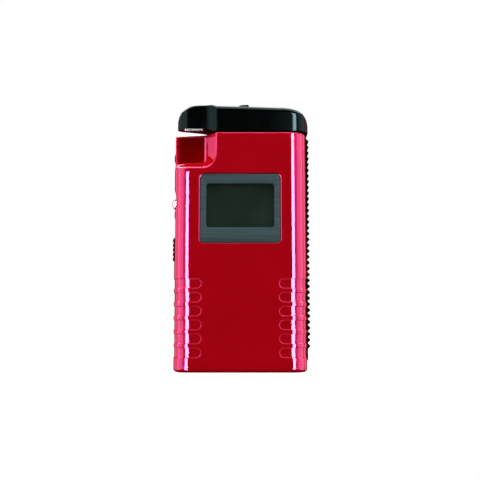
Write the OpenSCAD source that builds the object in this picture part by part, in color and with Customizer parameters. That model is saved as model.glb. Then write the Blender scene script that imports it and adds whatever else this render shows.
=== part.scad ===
// Pocket battery tester: a two-part housing with a display, and an arm that slides up to grip a cell.
// Frame: X across the front, front face towards -Y, Z up along the length, origin under the middle.

/* [Housing] */
// Width of the housing across its flat sides
body_w = 53.4; // [52:0.2:56]
// Depth of the housing from front to back
body_d = 25; // [25:0.5:28]
// Height of the housing, up to the underside of the arm
body_h = 96.3; // [96:0.1:100]
// Radius of the upright corners
corner_r = 6; // [5:0.5:6]
// Radius of the edge that the housing stands on
foot_r = 1.6; // [1:0.1:2]
// Wall thickness of both shells
wall = 1.8; // [1.6:0.1:2]

/* [Cell pocket] */
// Height of the pocket floor
pocket_z = 82.2; // [81.8:0.1:82.4]
// Radius of the trough that the cell lies in
trough_r = 40; // [38:1:42]
// Radius between the trough and its floor
scoop_r = 4.5; // [4:0.5:5]
// Width of the slanted edge beside the trough
flare_w = 4.6; // [4.2:0.1:5]
// Depth that the slanted edge goes back
flare_d = 5.7; // [5.2:0.1:6]

/* [Display] */
// Width of the grey plate
bezel_w = 32.3; // [31:0.1:33]
// Height of the grey plate
bezel_h = 28; // [27:0.1:28.4]
// Height of the plate's centre
bezel_z = 65.1; // [65:0.1:65.3]
// Width of the window in the plate
window_w = 27.2; // [26:0.1:28]
// Height of the window in the plate
window_h = 17.7; // [17:0.1:18]
// Height of the window's centre
window_z = 66.2; // [66:0.1:66.4]

/* [Arm] */
// Height of the cap on the arm
cap_h = 11; // [10.8:0.1:11.2]
// Gap between the housing and the cap when the arm is down
cap_gap = 0.4; // [0.3:0.1:0.5]
// Teeth on the rail
tooth_count = 36; // [30:1:36]
// Distance from tooth to tooth
tooth_pitch = 2.4; // [2.2:0.005:2.42]
// Width of the toothed face, front to back
rail_w = 8.6; // [8:0.2:8.8]

/* [Grip grooves] */
// Grooves across each edge, one above the other
groove_count = 6; // [4:1:6]
// Height of one groove
groove_h = 3.75; // [3.4:0.05:4]
// Distance from groove to groove
groove_pitch = 5.43; // [5.2:0.01:5.6]
// Depth of the grooves
groove_depth = 0.3; // [0.2:0.05:0.4]

/* [Side controls] */
// Length of the thumb piece
knob_len = 10.4; // [10:0.1:10.6]
// Travel of the thumb piece, over two steps of the switch
knob_travel = 6; // [5.5:0.5:6]
// Height of the domed contact's centre
dome_z = 68.4; // [67.5:0.1:69]
// Diameter of the domed contact
dome_d = 4.8; // [4.4:0.1:5]

/* [Hidden] */
$fn = 64;
eps = 0.05;
run = 0.3; // clearance between parts that slide

half_w = body_w / 2;
half_d = body_d / 2;
inner_w = half_w - wall;
inner_d = half_d - wall;
trough_x = 0.7 - half_w;
trough_y = -4.9 - trough_r;
pocket_x = -5 - flare_w; // right-hand end of the slanted edge on the front face

// Plates of the display, from the front face inwards
bezel_front = 0.3 - half_d;
bezel_t = 0.8;
bezel_r = 1.7;
window_t = 0.6;
lcd_front = bezel_front + bezel_t + window_t + 0.2;
lcd_t = 2.2;
board_front = -6.4;
board_t = 1.2;
board_back = board_front + board_t;
board_left = -21.5;
board_right = 18.3;
board_low = 13;
board_high = 78;

// Rail of the arm, inside the right-hand side
rail_in = 21; // inner face
rail_lip = inner_w - run; // outer face of the flange behind the wall
rail_face = half_w - 0.2; // outer face between the teeth
rail_low = 2.9;
flange_w = rail_w + 3.8;
tooth_low = 9;
tip_x = half_w + 1.6;
valley_x = half_w + 0.6;
cap_low = body_h + cap_gap;
cap_high = cap_low + cap_h;
beak_low = cap_low + 1.5;
cap_wall = 1.6;
base_t = 1.6;
rail_high = cap_low + 5.6;
cap_right = half_w + 1;

post_spots = [[-20.5, 7.5], [9.5, 7.5], [11.5, 88]];
post_r = 2.7;
pilot_r = 1;
screw_r = 0.95;
head_r = 2.1;
board_screw_spots = [[-12, 17], [12, 17], [12, 46]];
arm_screw_spots = [[2, -8], [2, 8]];

knob_z = 49.2; // centre of the thumb piece at rest
knob_w = 6;
neck_z = 3.4;
peg_z = 1.8;
groove_low = 7.8; // centre of the lowest grip groove
stud_z = 87.6;
seat_spot = [-21, -8.6];
spring_spot = [15.6, 3];
spring_coil_r = 1.7;
lug_low = 39.6; // lug on the rail that the spring pulls on
pin_x = 22.5; // cross pin that holds the rail in the cap
pin_z = cap_low + 3.6;
tab_y = -6.9; // front of the tab that leads down to the contact in the beak
recess_low = 43.3; // shallow recess round the thumb piece
recess_high = 61.8;
recess_depth = 0.4;
seat_y = 6.4; // face under the heads of the shell screws
collar_x = 2.9 - half_w; // inner face of the domed contact's collar

// Rounded rectangle, drawn in two dimensions
module rounded_rect(w, d, r) {
    square([w - 2 * r, d], center = true);
    square([w, d - 2 * r], center = true);
    for (x = [-1, 1], y = [-1, 1]) {
        translate([x * (w / 2 - r), y * (d / 2 - r)]) circle(r);
    }
}

// Side view of a block whose lower edges are rounded
module footed_side(w, h, r) {
    translate([-w / 2, r]) square([w, h - r]);
    translate([r - w / 2, 0]) square([w - 2 * r, h]);
    for (x = [-1, 1]) {
        translate([x * (w / 2 - r), r]) circle(r);
    }
}

// Block with round upright corners and a round foot edge
module footed_block(w, d, h, r, foot) {
    rotate([90, 0, 0]) linear_extrude(d - 2 * r, center = true) footed_side(w, h, foot);
    rotate([90, 0, 90]) linear_extrude(w - 2 * r, center = true) footed_side(d, h, foot);
    for (x = [-1, 1], y = [-1, 1]) {
        translate([x * (w / 2 - r), y * (d / 2 - r), 0]) rotate_extrude() {
            intersection() {
                footed_side(2 * r, h, foot);
                square([r, h]);
            }
        }
    }
}

// Plate that stands upright, facing the front: centre height, size, front face and thickness
module upright_plate(w, h, z, r, y, t) {
    translate([0, y + t, z]) rotate([90, 0, 0]) linear_extrude(t) rounded_rect(w, h, r);
}

// Rod from front to back
module rod_y(x, z, r, y0, y1) {
    translate([x, y1, z]) rotate([90, 0, 0]) cylinder(h = y1 - y0, r = r);
}

// Rod from left to right
module rod_x(y, z, r, x0, x1) {
    translate([x0, y, z]) rotate([0, 90, 0]) cylinder(h = x1 - x0, r = r);
}

module box(low, high) {
    translate(low) cube(high - low);
}

// Space of the cell pocket, grown by g
module pocket(g) {
    top = body_h + 2;
    intersection() {
        translate([trough_x, trough_y, pocket_z - g]) rotate_extrude() {
            square([trough_r - scoop_r, top - pocket_z + g]);
            translate([0, scoop_r + g]) square([trough_r + g, top - pocket_z - scoop_r]);
            translate([trough_r - scoop_r, scoop_r + g]) circle(scoop_r + g);
        }
        translate([0, 0, pocket_z - g - 1]) linear_extrude(top) {
            polygon([
                [-half_w - 2, -half_d - 1], [pocket_x + g, -half_d - 1], [pocket_x + g, -half_d],
                [pocket_x - flare_w + g, flare_d - half_d], [pocket_x - flare_w + g, 0],
                [-half_w - 2, 0]]);
        }
    }
}

// Hollow inside of the housing
module cavity() {
    difference() {
        translate([0, 0, wall]) {
            footed_block(2 * inner_w, 2 * inner_d, body_h - 2 * wall, corner_r - wall, 0.6);
        }
        pocket(wall);
    }
}

// Slot in the right-hand side and the top for the rail
module rail_slot() {
    box([inner_w - 1, -rail_w / 2 - run, rail_low - run], [half_w + 1, rail_w / 2 + run, body_h + 1]);
    box([rail_in - run, -flange_w / 2 - run, body_h - wall - 1],
        [half_w + 1, flange_w / 2 + run, body_h + 1]);
}

// Shallow scoops in the left-hand side, for the dome and for the thumb piece
module side_scoops() {
    scoop_depth = 0.85;
    half_h = 4.75;
    arc_r = (half_h * half_h + scoop_depth * scoop_depth) / (2 * scoop_depth);
    translate([scoop_depth - half_w - arc_r, 0, dome_z]) rotate([90, 0, 0]) {
        cylinder(h = body_d, r = arc_r, center = true, $fn = 128);
    }
    box([-half_w - 1, -half_d, recess_low], [recess_depth - half_w, half_d, recess_high]);
    rod_x(0, dome_z, 1.6, -half_w - 1, 1 - inner_w);
    box([-half_w - 1, -1.2, knob_z - neck_z / 2 - run],
        [1 - inner_w, 1.2, knob_z + neck_z / 2 + knob_travel + run]);
    rod_x(0, stud_z, 1.3, -half_w - 1, 1 - inner_w);
}

// Shallow grooves round the upright edges, with round ends on the front and the back
module grip_grooves() {
    end_x = 15.4 + groove_h / 2;
    difference() {
        for (i = [0:groove_count - 1], side = [-1, 1]) {
            z = groove_low + i * groove_pitch;
            rod_y(side * end_x, z, groove_h / 2, -half_d - 1, half_d + 1);
            translate([side * (end_x + 6), 0, z]) cube([12, body_d + 2, groove_h], center = true);
        }
        linear_extrude(body_h) {
            rounded_rect(body_w - 2 * groove_depth, body_d - 2 * groove_depth, corner_r - groove_depth);
        }
    }
}

module shell_walls() {
    difference() {
        footed_block(body_w, body_d, body_h, corner_r, foot_r);
        cavity();
        pocket(0);
        rail_slot();
        side_scoops();
        grip_grooves();
    }
}

// Ribs that guide the inner face of the rail
module rail_guides() {
    for (y = [-1, 1]) {
        box([rail_in - run - 1.6, y > 0 ? flange_w / 2 - 1 : -inner_d - eps, 4],
            [rail_in - run, y > 0 ? inner_d + eps : 1 - flange_w / 2, 93]);
    }
}

module front_shell() {
    color([0.65, 0.02, 0.08]) difference() {
        union() {
            intersection() {
                shell_walls();
                box([-half_w, -half_d, 0], [half_w, 0, body_h]);
            }
            intersection() {
                union() {
                    for (p = post_spots) rod_y(p[0], p[1], post_r, -inner_d - eps, 0);
                    rail_guides();
                }
                box([-inner_w, -inner_d - eps, wall], [inner_w, 0, body_h - wall]);
            }
            for (p = board_screw_spots) rod_y(p[0], p[1], 2, -inner_d - eps, board_front);
        }
        for (p = post_spots) rod_y(p[0], p[1], pilot_r, 1.5 - inner_d, 1);
        for (p = board_screw_spots) rod_y(p[0], p[1], 0.8, 1 - inner_d, 1);
        upright_plate(bezel_w + 0.3, bezel_h + 0.3, bezel_z, bezel_r + 0.15, -half_d - 1,
            1 + bezel_front + bezel_t + half_d);
        upright_plate(window_w + 1.6, window_h + 1.6, window_z, 1, -half_d - 1, 4);
        translate([seat_spot[0], seat_spot[1], pocket_z - 3]) cylinder(h = 8, r = 1.15);
    }
}

module rear_shell() {
    color([0.65, 0.02, 0.08]) difference() {
        union() {
            intersection() {
                shell_walls();
                box([-half_w, 0, 0], [half_w, half_d, body_h]);
            }
            intersection() {
                union() {
                    for (p = post_spots) rod_y(p[0], p[1], post_r, 0.05, inner_d + eps);
                    rod_y(spring_spot[0], 10, 2, 6.5, inner_d + eps);
                    rail_guides();
                }
                box([-inner_w, 0.05, wall], [inner_w, inner_d + eps, body_h - wall]);
            }
        }
        for (p = post_spots) {
            rod_y(p[0], p[1], 1.2, -1, half_d + 1);
            rod_y(p[0], p[1], head_r + 0.2, seat_y, half_d + 1);
        }
        rod_y(spring_spot[0], 10, 0.85, 0, inner_d - 0.6);
    }
}

module bezel_plate() {
    color([0.22, 0.3, 0.33]) difference() {
        upright_plate(bezel_w, bezel_h, bezel_z, bezel_r, bezel_front, bezel_t);
        upright_plate(window_w, window_h, window_z, 1.2, bezel_front - 1, bezel_t + 2);
    }
}

module display_window() {
    color([0.8, 0.9, 0.85, 0.3]) {
        upright_plate(window_w + 1.2, window_h + 1.2, window_z, 0.8, bezel_front + bezel_t, window_t);
    }
}

module lcd_panel() {
    color([0.12, 0.2, 0.16]) {
        upright_plate(window_w + 2.8, window_h + 5, window_z - 1.2, 0.3, lcd_front, lcd_t);
    }
}

module lcd_holder() {
    w = window_w + 5;
    h = window_h + 7.4;
    color([0.85, 0.85, 0.82]) difference() {
        upright_plate(w, h, window_z - 1.2, 0.6, lcd_front + 0.1, board_front - lcd_front - 0.1);
        upright_plate(window_w + 2.9, window_h + 5.1, window_z - 1.2, 0.35, lcd_front - 1, lcd_t + 1);
        upright_plate(window_w - 1, window_h - 2, window_z, 0.6, lcd_front, 8);
        zebra_space(0.1);
    }
}

// Space of the rubber connector, grown by g
module zebra_space(g) {
    zebra_z = window_z - 1.2 - window_h / 2 - 1.2;
    box([-12.5 - g, lcd_front + lcd_t, zebra_z - 0.9 - g], [12.5 + g, board_front, zebra_z + 0.9 + g]);
}

module zebra_strip() {
    color([0.3, 0.3, 0.32]) zebra_space(0);
}

module circuit_board() {
    color([0.1, 0.35, 0.15]) difference() {
        box([board_left, board_front, board_low], [board_right, board_back, board_high]);
        for (p = board_screw_spots) rod_y(p[0], p[1], 1, board_front - 1, board_back + 1);
    }
}

module driver_chip() {
    dome_r = 8;
    sunk = 6.5;
    color([0.05, 0.05, 0.05]) translate([-4, board_back, 58]) rotate([-90, 0, 0]) rotate_extrude() {
        intersection() {
            translate([0, -sunk]) circle(dome_r);
            square([dome_r, dome_r]);
        }
    }
}

module boost_coil() {
    color([0.15, 0.15, 0.16]) difference() {
        rod_y(-4, 38, 3.6, board_back, board_back + 4.4);
        difference() {
            rod_y(-4, 38, 4, board_back + 0.9, board_back + 3.5);
            rod_y(-4, 38, 2.9, board_back + 0.8, board_back + 3.6);
        }
    }
}

module storage_capacitor() {
    color([0.1, 0.12, 0.3]) {
        rod_y(6, 38, 2.5, board_back, board_back + 7);
    }
}

module load_resistors() {
    color([0.75, 0.65, 0.5]) for (z = [24, 28, 32]) {
        rod_x(board_back + 1.4, z, 1.2, -9, -3);
        for (x = [-9.6, -2.9]) {
            box([x, board_back, z - 0.3], [x + 0.5, board_back + 1.7, z + 0.3]);
        }
        rod_x(board_back + 1.4, z, 0.3, -9.5, -2.5);
    }
}

module switch_body() {
    color([0.7, 0.7, 0.72]) difference() {
        box([-20.3, board_back, knob_z - 6.1], [-15.3, 2.6, knob_z + 11.4]);
        box([-21, -0.9, knob_z - peg_z / 2 - run], [-17.9, 0.9, knob_z + peg_z / 2 + knob_travel + run]);
    }
}

module switch_slider() {
    color([0.9, 0.9, 0.88]) box([-22.6, -0.6, knob_z - peg_z / 2], [-18.2, 0.6, knob_z + peg_z / 2]);
}

module range_knob() {
    ribs = 5;
    rib_pitch = 1.9;
    knob_in = -half_w + 0.15;
    low = knob_z - knob_len / 2;
    color([0.04, 0.03, 0.03]) {
        difference() {
            union() {
                box([-half_w - 0.6, -knob_w / 2, low], [knob_in, knob_w / 2, low + knob_len]);
                intersection() {
                    for (i = [0:ribs - 1]) {
                        z = knob_z + (i - (ribs - 1) / 2) * rib_pitch;
                        translate([-half_w - 0.3, knob_w / 2, z]) rotate([90, 0, 0])
                            cylinder(h = knob_w, r = 0.8);
                    }
                    box([-half_w - 2, -knob_w / 2, low], [knob_in, knob_w / 2, low + knob_len]);
                }
                box([-half_w - 0.1, -1, knob_z - neck_z / 2], [-23, 1, knob_z + neck_z / 2]);
                box([0.3 - inner_w, -2.5, knob_z - 2.6], [-22.4, 2.5, knob_z + 2.6]);
            }
            box([-23.5, -0.65, knob_z - peg_z / 2 - eps], [-22, 0.65, knob_z + peg_z / 2 + eps]);
        }
    }
}

module seat_contact() {
    stem_low = pocket_z - wall - 3.8;
    color([0.8, 0.8, 0.78]) {
        translate([seat_spot[0], seat_spot[1], stem_low]) cylinder(h = pocket_z + 0.1 - stem_low, r = 1.1);
        box([seat_spot[0] - 0.5, seat_spot[1], stem_low],
            [seat_spot[0] + 0.5, board_front - eps, stem_low + 0.6]);
    }
}

module contact_track() {
    color([0.8, 0.65, 0.3]) box([15.9, board_back, 14], [17.9, board_back + 0.3, 77]);
}

module side_contact() {
    dome_in = -half_w - 0.2;
    rise = tip_x + dome_in;
    arc_r = (dome_d * dome_d / 4 + rise * rise) / (2 * rise);
    color([0.85, 0.85, 0.86]) {
        intersection() {
            translate([arc_r - tip_x, 0, dome_z]) sphere(arc_r);
            rod_x(0, dome_z, dome_d / 2, -tip_x - 1, dome_in);
        }
        rod_x(0, dome_z, 1.5, dome_in - eps, collar_x);
        rod_x(0, dome_z, 2.4, 0.2 - inner_w, collar_x);
    }
}

module contact_spring() {
    turns = 3;
    color([0.75, 0.75, 0.75]) translate([collar_x + 0.45, 0, dome_z]) rotate([0, 90, 0]) rotate_extrude() {
        for (i = [0:turns - 1]) {
            translate([1.5, i * 0.7]) circle(0.38);
        }
    }
}

module contact_bush() {
    color([0.9, 0.9, 0.85]) difference() {
        box([collar_x - 0.9, -3.2, dome_z - 3.2], [collar_x + 4.7, 3.2, dome_z + 3.2]);
        rod_x(0, dome_z, 2.6, collar_x - 1.7, collar_x + 3.7);
    }
}

module side_stud() {
    color([0.03, 0.03, 0.03]) {
        intersection() {
            rod_x(0, stud_z, 2.05, -half_w - 0.7, -half_w);
            translate([2.6 - half_w, 0, stud_z]) sphere(3.4);
        }
        rod_x(0, stud_z, 1.25, -half_w - eps, 1.2 - inner_w);
    }
}

// One line of the rail's outer edge: teeth above a plain strip with a tapered end
function rail_edge() = concat(
    [[rail_in + 1, rail_low], [rail_face - 0.6, rail_low], [rail_face, rail_low + 1.4],
        [valley_x, tooth_low - 4], [valley_x, tooth_low]],
    [for (i = [0:tooth_count - 1], k = [0:3])
        [[valley_x, tip_x - 0.25, tip_x, tip_x - 0.25][k],
            tooth_low + (i + [0, 0.3, 0.5, 0.7][k]) * tooth_pitch]],
    [[valley_x, tooth_low + tooth_count * tooth_pitch], [rail_face, cap_low - 0.25],
        [rail_face, cap_low - 0.1], [rail_in + 1, cap_low - 0.1]]);

module slider_rail() {
    groove_w = 2.6;
    color([0.05, 0.02, 0.03]) difference() {
        union() {
            rotate([90, 0, 0]) linear_extrude(rail_w, center = true) polygon(rail_edge());
            box([rail_in, -flange_w / 2, rail_low + 0.4], [rail_lip, flange_w / 2, rail_high]);
            box([spring_spot[0] + 1.2, spring_spot[1] - 1, lug_low],
                [rail_in + 1, spring_spot[1] + 1, lug_low + 2]);
        }
        box([rail_in - 1, -groove_w / 2, 0], [rail_in + 0.6, groove_w / 2, rail_high + 1]);
        rod_y(pin_x, pin_z, 0.85, -flange_w, flange_w);
    }
}

module arm_conductor() {
    high = rail_high + 0.8;
    color([0.8, 0.65, 0.3]) {
        box([rail_in + 0.1, -1.1, 14.2], [rail_in + 0.4, 1.1, high]);
        box([rail_in - 1, -5.4, high], [rail_in + 0.4, 1.1, high + 0.3]);
        box([-19.6, -5.4, high], [rail_in + 0.4, -4.2, high + 0.3]);
        box([-19.6, tab_y, high], [-17.6, -4.2, high + 0.3]);
        box([-19.6, tab_y, beak_low + base_t + 0.3], [-17.6, tab_y + 0.3, high + 0.1]);
    }
}

module wiper() {
    low = 17;
    color([0.85, 0.8, 0.6]) {
        box([rail_in - 0.3, -1.1, low], [rail_in + 0.1, 1.1, low + 4]);
        box([rail_in - 0.3, board_back + 0.45, low + 1], [rail_in, -1, low + 3]);
        box([16.2, board_back + 0.45, low + 1], [rail_in, board_back + 0.75, low + 3]);
    }
}

function arc(cx, cy, r, from, to, steps) =
    [for (i = [0:steps]) let (a = from + (to - from) * i / steps) [cx + r * cos(a), cy + r * sin(a)]];

// Outline of the cap and its beak, seen from above
module cap_plan() {
    beak_front = 2.3 - half_d;
    polygon(concat(
        [[pocket_x + 0.3, -half_d]],
        arc(cap_right - corner_r, corner_r - half_d, corner_r, -90, 0, 6),
        arc(cap_right - corner_r, half_d - corner_r, corner_r, 0, 90, 6),
        arc(-3, half_d - corner_r, corner_r, 90, 160, 5),
        [[-10, 4.6], [-15.6, -0.4]],
        arc(-22.9, -6.4, 2.8, 120, 240, 8),
        [[-21.5, beak_front], [pocket_x - 3.9, beak_front]]));
}

// Front view of the cap: a long round at the beak, a crowned top and a round right-hand end
module cap_side() {
    beak_x = -15.4; // where the long round meets the top
    beak_round = [10.4, 6.9];
    beak_high = cap_high + 0.3;
    fullness = 2.5; // exponent of the long round, where 2 is an ellipse
    end_round = [11.4, 5.4];
    end_high = cap_high - 1.15;
    polygon(concat(
        [[beak_x - beak_round[0], cap_low]],
        [for (i = [0:8]) let (t = 1 - i / 8)
            [beak_x - beak_round[0] * t,
                beak_high + beak_round[1] * (pow(1 - pow(t, fullness), 1 / fullness) - 1)]],
        [[-11.5, beak_high - 0.05], [-8.6, cap_high - 0.35], [5, cap_high - 0.75]],
        [for (a = [0:11.25:90])
            [cap_right + end_round[0] * (sin(a) - 1), end_high + end_round[1] * (cos(a) - 1)]],
        [[cap_right, cap_low]]));
}

// The beak's underside stands higher than the cap's
module beak_relief() {
    rotate([90, 0, 0]) linear_extrude(body_d + 2, center = true) {
        polygon([[-27, cap_low - 1], [-10.5, cap_low - 1], [-13.5, beak_low], [-27, beak_low]]);
    }
}

module cap_solid(inset, drop) {
    intersection() {
        translate([0, 0, cap_low - 1]) linear_extrude(cap_h + 2) {
            if (inset > 0) {
                offset(delta = -inset) cap_plan();
            } else {
                cap_plan();
            }
        }
        rotate([90, 0, 0]) linear_extrude(body_d + 2, center = true) translate([0, -drop]) cap_side();
    }
}

module arm_base() {
    color([0.03, 0.03, 0.03]) difference() {
        union() {
            intersection() {
                translate([0, 0, cap_low - 1]) linear_extrude(cap_h) {
                    offset(delta = -cap_wall - 0.1) cap_plan();
                }
                rotate([90, 0, 0]) linear_extrude(body_d, center = true) {
                    polygon([
                        [-25, beak_low], [-13.5, beak_low], [-10.5, cap_low], [26, cap_low],
                        [26, cap_low + base_t], [-10.2, cap_low + base_t], [-13.2, beak_low + base_t],
                        [-25, beak_low + base_t]]);
                }
            }
            for (side = [-1, 1]) {
                translate([pin_x, side * (flange_w / 2 + 0.9), pin_z - 0.9]) {
                    cube([3, 1.6, 5.2], center = true);
                }
            }
        }
        rod_y(pin_x, pin_z, 0.85, -flange_w, flange_w);
        box([rail_in - 0.7, -flange_w / 2 - 0.1, cap_low - 1], [half_w + 1, flange_w / 2 + 0.1, cap_high]);
        box([-19.8, tab_y - 0.4, beak_low - 1], [-17.4, tab_y + 0.9, beak_low + base_t + 1]);
        for (p = arm_screw_spots) {
            translate([p[0], p[1], cap_low - 1]) cylinder(h = 4, r = 1.1);
            translate([p[0], p[1], cap_low - 1]) cylinder(h = 1.8, r = 1.9);
        }
    }
}

module arm_cover() {
    color([0.02, 0.03, 0.03]) difference() {
        union() {
            difference() {
                cap_solid(0, 0);
                cap_solid(cap_wall, cap_wall);
                beak_relief();
            }
            for (p = arm_screw_spots) {
                translate([p[0], p[1], cap_low + base_t]) cylinder(h = cap_h - base_t - 1, r = 2.2);
            }
            // Small ramp on the cap's front edge, to start the arm with a fingertip
            rotate([90, 0, 0]) translate([0, 0, 8]) linear_extrude(3) {
                polygon([
                    [-1.4, cap_high - 1], [3.9, cap_high - 1], [3.1, cap_high + 0.1],
                    [0.4, cap_high - 0.05], [-1.4, cap_high - 0.6]]);
            }
        }
        for (p = arm_screw_spots) translate([p[0], p[1], cap_low]) cylinder(h = 7, r = 0.85);
    }
}

module arm_contact() {
    color([0.8, 0.8, 0.78]) {
        box([-23.4, -8.4, beak_low - 0.4], [-14.8, -6, beak_low - 0.05]);
        box([-19.6, tab_y, beak_low - 0.2], [-17.6, tab_y + 0.4, beak_low + base_t + 0.3]);
        intersection() {
            translate([-21.8, -7.2, beak_low + 1.3]) sphere(2.1);
            box([-24, -9, beak_low - 1.5], [-19, -5, beak_low - 0.2]);
        }
    }
}

module return_spring() {
    coils = 24;
    coil_pitch = 1.06;
    wire_r = 0.56;
    low = 12.5;
    high = low + coils * coil_pitch;
    color([0.75, 0.75, 0.77]) translate([spring_spot[0], spring_spot[1], 0]) {
        translate([0, 0, low]) rotate_extrude() {
            for (i = [0:coils]) {
                translate([spring_coil_r, i * coil_pitch]) circle(wire_r);
            }
        }
        translate([spring_coil_r, 0, 10.9]) cylinder(h = low - 10.9, r = 0.4);
        translate([spring_coil_r, 0, high]) cylinder(h = lug_low - 0.1 - high, r = 0.4);
    }
}

module spring_anchor() {
    color([0.8, 0.8, 0.8]) {
        rod_y(spring_spot[0], 10, 0.8, 0.6, inner_d - 0.7);
        rod_y(spring_spot[0], 10, 1.5, 0.2, 0.6);
    }
}

module shell_screws() {
    color([0.7, 0.7, 0.72]) for (p = post_spots) {
        difference() {
            union() {
                rod_y(p[0], p[1], screw_r, -8, seat_y + 0.1);
                rod_y(p[0], p[1], head_r, seat_y, seat_y + 1.6);
            }
            box([p[0] - 1.3, 7.4, p[1] - 0.25], [p[0] + 1.3, 9, p[1] + 0.25]);
            box([p[0] - 0.25, 7.4, p[1] - 1.3], [p[0] + 0.25, 9, p[1] + 1.3]);
        }
    }
}

module arm_screws() {
    color([0.7, 0.7, 0.72]) for (p = arm_screw_spots) {
        translate([p[0], p[1], cap_low + 0.1]) difference() {
            union() {
                cylinder(h = 6.4, r = 0.8);
                cylinder(h = 0.65, r = 1.8);
            }
            translate([0, 0, -1]) cube([2.4, 0.5, 2.6], center = true);
            translate([0, 0, -1]) cube([0.5, 2.4, 2.6], center = true);
        }
    }
}

module board_screws() {
    color([0.7, 0.7, 0.72]) for (p = board_screw_spots) {
        rod_y(p[0], p[1], 0.75, -9.5, board_back + 0.5);
        rod_y(p[0], p[1], 1.7, board_back, board_back + 1.1);
    }
}

module rail_pin() {
    color([0.75, 0.75, 0.77]) rod_y(pin_x, pin_z, 0.8, -flange_w / 2 - 1.6, flange_w / 2 + 1.6);
}

front_shell();
rear_shell();
bezel_plate();
display_window();
lcd_panel();
lcd_holder();
zebra_strip();
circuit_board();
driver_chip();
boost_coil();
storage_capacitor();
load_resistors();
switch_body();
switch_slider();
range_knob();
seat_contact();
contact_track();
side_contact();
contact_spring();
contact_bush();
side_stud();
slider_rail();
arm_conductor();
wiper();
arm_base();
arm_cover();
arm_contact();
return_spring();
spring_anchor();
shell_screws();
arm_screws();
board_screws();
rail_pin();
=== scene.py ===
"""Looks of the pocket battery tester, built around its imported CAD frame.

Lengths are in millimetres until a mesh is made, which turns them into metres.
X runs across the front, -Y is the front, and Z runs up.
"""
import math

import bpy
import numpy as np
from mathutils import Matrix, Vector


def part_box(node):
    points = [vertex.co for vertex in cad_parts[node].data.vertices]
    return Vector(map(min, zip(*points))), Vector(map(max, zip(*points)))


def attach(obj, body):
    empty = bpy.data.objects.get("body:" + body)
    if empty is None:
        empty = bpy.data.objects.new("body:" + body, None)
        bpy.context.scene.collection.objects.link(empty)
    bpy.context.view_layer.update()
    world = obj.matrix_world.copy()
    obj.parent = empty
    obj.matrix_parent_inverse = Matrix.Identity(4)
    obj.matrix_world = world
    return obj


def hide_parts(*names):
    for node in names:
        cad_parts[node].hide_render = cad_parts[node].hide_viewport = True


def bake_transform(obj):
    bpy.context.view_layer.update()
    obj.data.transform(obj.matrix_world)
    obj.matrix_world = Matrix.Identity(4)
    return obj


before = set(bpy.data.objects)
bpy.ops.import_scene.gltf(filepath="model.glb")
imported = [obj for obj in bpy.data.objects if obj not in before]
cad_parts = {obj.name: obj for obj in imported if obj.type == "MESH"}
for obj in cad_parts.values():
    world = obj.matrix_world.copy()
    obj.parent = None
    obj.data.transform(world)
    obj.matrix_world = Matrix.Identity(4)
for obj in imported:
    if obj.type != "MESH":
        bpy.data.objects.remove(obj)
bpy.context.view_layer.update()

MM = 0.001


def cad(node):
    """Lowest and highest corner of a CAD node, in millimetres."""
    low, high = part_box(node)
    return np.array(low) / MM, np.array(high) / MM


# ---------------------------------------------------------------- sizes taken from the frame
SHELL_LOW, SHELL_HIGH = cad("front_shell")
BEZEL_LOW, BEZEL_HIGH = cad("bezel_plate")
WINDOW_LOW, WINDOW_HIGH = cad("display_window")
KNOB_LOW, KNOB_HIGH = cad("range_knob")
DOME_LOW, DOME_HIGH = cad("side_contact")
STUD_LOW, STUD_HIGH = cad("side_stud")
RAIL_LOW, RAIL_HIGH = cad("slider_rail")
CAP_LOW, CAP_HIGH = cad("arm_cover")
PAD_LOW, PAD_HIGH = cad("arm_contact")
SPRING_LOW, SPRING_HIGH = cad("return_spring")
SEAT_LOW, SEAT_HIGH = cad("seat_contact")

HALF_W = SHELL_HIGH[0]
HALF_D = -SHELL_LOW[1]
BODY_H = SHELL_HIGH[2]
CORNER = 6.0
FOOT = 1.6
TOP_ROUND = 0.9
WALL = 1.6

FLOOR_Z = 82.2
FLOOR_ROUND = 4.5
RIM_ROUND = 1.6
TROUGH_R = 40.0
TROUGH_X = 0.7 - HALF_W
TROUGH_Y = -4.9 - TROUGH_R
FLARE_LEFT = -14.2
FLARE_RIGHT = -9.6
FLARE_DEPTH = 5.7
OUTLINE_ROUND = 5.0

GROOVES = 6
GROOVE_H = 3.75
GROOVE_PITCH = 5.43
GROOVE_LOW = 7.8  # middle of the lowest groove
GROOVE_DEPTH = 0.3  # on the sides
GROOVE_FRONT = 0.045  # depth on the front face
GROOVE_END = 15.4  # distance of the round ends from the middle
GROOVE_EDGE = 0.17  # width of the sloping edge

PLATE_ROUND = 1.7

RECESS_LOW = 43.3
RECESS_HIGH = 61.8
RECESS_DEPTH = 0.4
SCOOP_HALF = 4.75
SCOOP_DEPTH = 0.85
DOME_Z = (DOME_LOW[2] + DOME_HIGH[2]) / 2
STUD_Z = (STUD_LOW[2] + STUD_HIGH[2]) / 2
KNOB_Z = (KNOB_LOW[2] + KNOB_HIGH[2]) / 2

SLOT_HALF = 4.6
SLOT_LOW = 2.6


# ---------------------------------------------------------------- mesh helpers
def new_piece(name, verts, faces, material, sharp=40):
    """Object made of points in millimetres, with soft shading up to an angle in degrees."""
    mesh = bpy.data.meshes.new(name)
    mesh.from_pydata([tuple(float(c) * MM for c in v) for v in verts], [], faces)
    piece = bpy.data.objects.new(name, mesh)
    bpy.context.scene.collection.objects.link(piece)
    tidy(mesh, sharp)
    if material is not None:
        mesh.materials.append(material)
    return piece


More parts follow.
